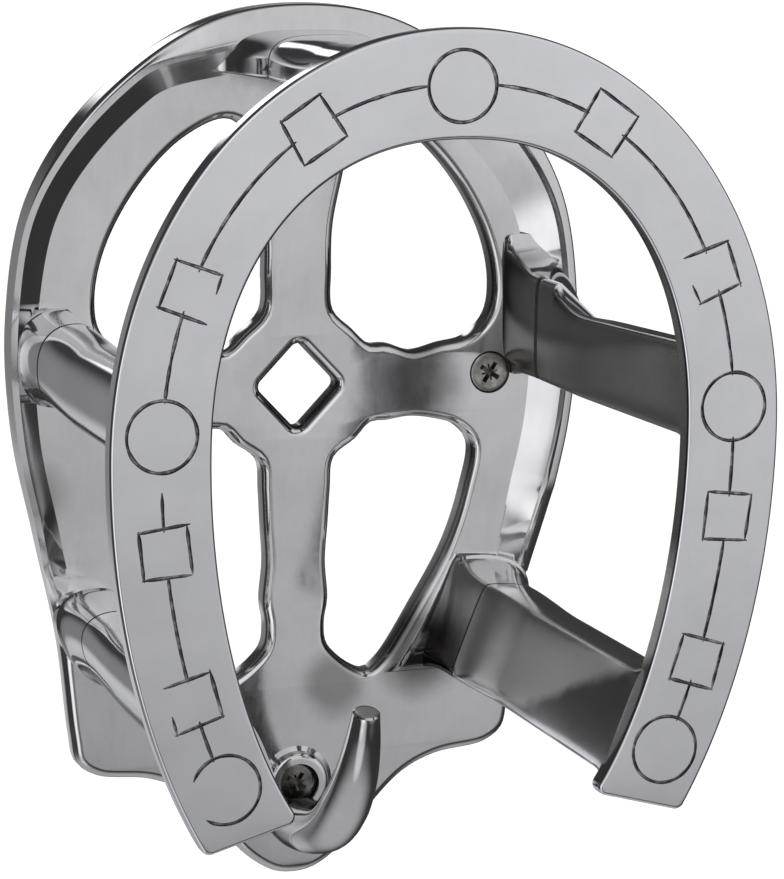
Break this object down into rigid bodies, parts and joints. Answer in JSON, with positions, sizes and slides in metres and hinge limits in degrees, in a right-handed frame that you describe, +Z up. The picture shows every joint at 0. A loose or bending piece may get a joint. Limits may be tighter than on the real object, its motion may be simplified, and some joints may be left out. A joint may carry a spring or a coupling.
{
  "type": "horseshoe wall bracket",
  "caption": "Cast metal wall bracket: an engraved horseshoe stands on flat arms in front of a pierced back plate with a hook, to hang tack on.",
  "frame": {"origin": "on the flat back face of the back plate, where the wall is, on its plane of symmetry, on the upright bar above the diamond hole", "axes": "+Z up, +Y into the wall, -Y out towards the front horseshoe, +X to the right seen from the front"},
  "size_m": [0.1266, 0.117, 0.1801],
  "materials": {
    "polished_metal": "polished",
    "screw_steel": "dull zinc plate"
  },
  "bodies": {
    "root": {"back_plate": "polished_metal", "front_horseshoe": "polished_metal", "wall_screw_left": "screw_steel", "wall_screw_right": "screw_steel", "wall_screw_bottom": "screw_steel", "arm_screw_top": "screw_steel", "arm_screw_upper_left": "screw_steel", "arm_screw_upper_right": "screw_steel", "arm_screw_lower_left": "screw_steel", "arm_screw_lower_right": "screw_steel"}
  },
  "joints": []
}
